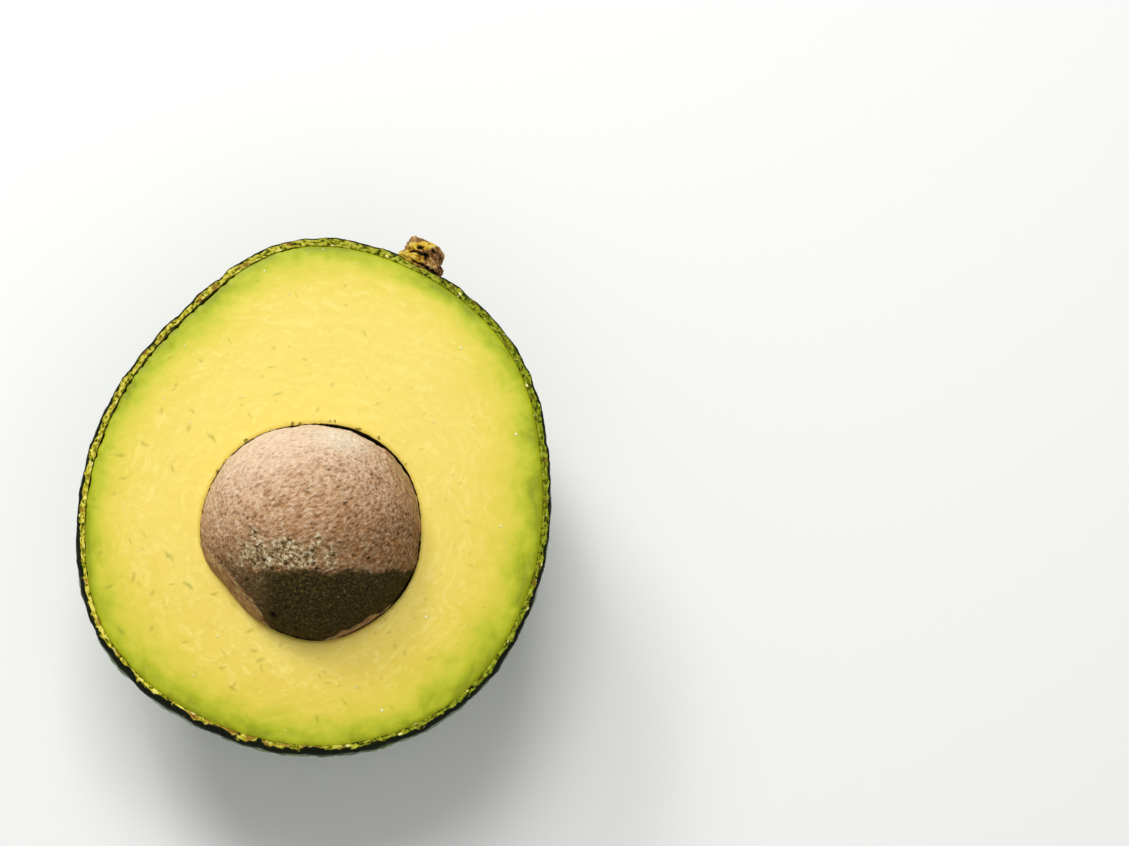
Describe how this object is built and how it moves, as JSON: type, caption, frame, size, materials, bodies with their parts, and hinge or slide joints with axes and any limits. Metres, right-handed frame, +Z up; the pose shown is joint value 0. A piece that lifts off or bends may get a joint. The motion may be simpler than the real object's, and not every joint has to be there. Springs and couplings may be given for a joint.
{
  "type": "avocado half with its stone",
  "caption": "Half of a round avocado lying on its skin, cut face up, with pebbled green peel, yellow-green flesh, the brown stone in its hollow and a corky stem button.",
  "frame": {"origin": "middle of the small flat spot on the skin that the half rests on", "axes": "+Z up, square to the cut face; +Y along the fruit, towards the stem end; +X across the fruit"},
  "size_m": [0.0787, 0.0905, 0.058],
  "materials": {
    "peel": "waxy pebbled green skin with dark dots, satin to glossy",
    "flesh": "moist buttery flesh, yellow at the stone and green under the peel",
    "stone": "dry papery brown seed coat, matte",
    "stem": "rough tan cork, matte"
  },
  "bodies": {
    "root": {"peel": "peel", "flesh": "flesh", "stone": "stone", "stem_button": "stem"}
  },
  "joints": []
}
